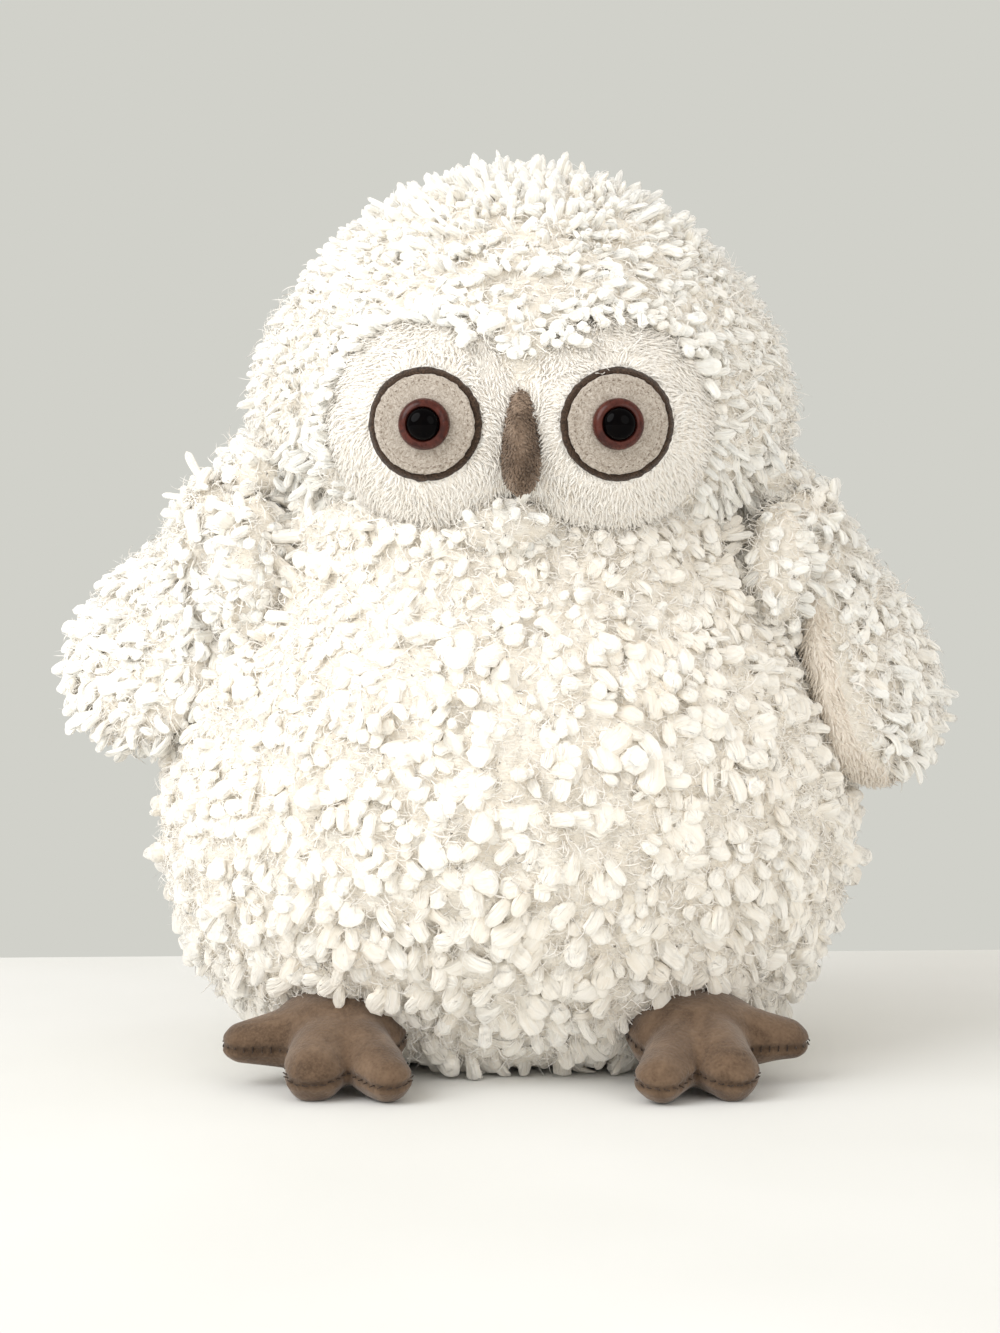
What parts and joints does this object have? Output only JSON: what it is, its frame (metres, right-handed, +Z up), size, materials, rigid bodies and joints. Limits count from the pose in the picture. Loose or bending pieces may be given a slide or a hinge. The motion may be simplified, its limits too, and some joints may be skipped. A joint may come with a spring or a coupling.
{
  "type": "plush owl",
  "caption": "Stuffed toy owl with a curly pile body, short-pile face, felt and plastic eyes, suede beak, floppy wings and soft toed feet, standing on a flat base.",
  "frame": {"origin": "centre of the flat base panel's underside, on the surface that the owl stands on", "axes": "+Z up, -Y the way the owl faces, +X the owl's own left"},
  "size_m": [0.2861, 0.1845, 0.28],
  "materials": {
    "curly_pile": "matte",
    "short_pile_face": "matte",
    "short_pile_lining": "matte",
    "brown_felt": "matte",
    "grey_felt": "matte",
    "foot_suede": "matte",
    "beak_suede": "matte",
    "eye_iris_plastic": "gloss",
    "eye_pupil_plastic": "gloss",
    "washer_plastic": "matte",
    "stuffing": "matte",
    "pellet_bag": "matte"
  },
  "bodies": {
    "body": {"body_front": "curly_pile", "body_back": "curly_pile", "body_base": "short_pile_lining", "body_fill": "stuffing", "bean_bag": "pellet_bag", "head_front": "curly_pile", "head_back": "curly_pile", "head_fill": "stuffing", "beak_cover": "beak_suede", "beak_fill": "stuffing", "face_left": "short_pile_face", "eye_rim_left": "brown_felt", "eye_disc_left": "grey_felt", "eye_iris_left": "eye_iris_plastic", "eye_pupil_left": "eye_pupil_plastic", "eye_washer_left": "washer_plastic", "face_right": "short_pile_face", "eye_rim_right": "brown_felt", "eye_disc_right": "grey_felt", "eye_iris_right": "eye_iris_plastic", "eye_pupil_right": "eye_pupil_plastic", "eye_washer_right": "washer_plastic"},
    "wing_left": {"wing_outer_left": "curly_pile", "wing_lining_left": "short_pile_lining", "wing_fill_left": "stuffing"},
    "wing_right": {"wing_outer_right": "curly_pile", "wing_lining_right": "short_pile_lining", "wing_fill_right": "stuffing"},
    "foot_left": {"foot_upper_left": "foot_suede", "foot_sole_left": "foot_suede", "foot_fill_left": "stuffing"},
    "foot_right": {"foot_upper_right": "foot_suede", "foot_sole_right": "foot_suede", "foot_fill_right": "stuffing"}
  },
  "joints": [
    {"name": "wing_left_lift", "type": "hinge", "parent": "body", "child": "wing_left", "pos_m": [0.09167, -0.008, 0.172], "axis": [0, -1, 0], "range_deg": [0, 80]},
    {"name": "wing_right_lift", "type": "hinge", "parent": "body", "child": "wing_right", "pos_m": [-0.09167, -0.008, 0.172], "axis": [0, 1, 0], "range_deg": [0, 80]},
    {"name": "foot_left_flex", "type": "hinge", "parent": "body", "child": "foot_left", "pos_m": [0.05742, -0.0602, 0.0285], "axis": [-0.9135, -0.4067, 0], "range_deg": [0, 35]},
    {"name": "foot_right_flex", "type": "hinge", "parent": "body", "child": "foot_right", "pos_m": [-0.05196, -0.06036, 0.0285], "axis": [-0.9613, 0.2756, 0], "range_deg": [0, 35]}
  ]
}
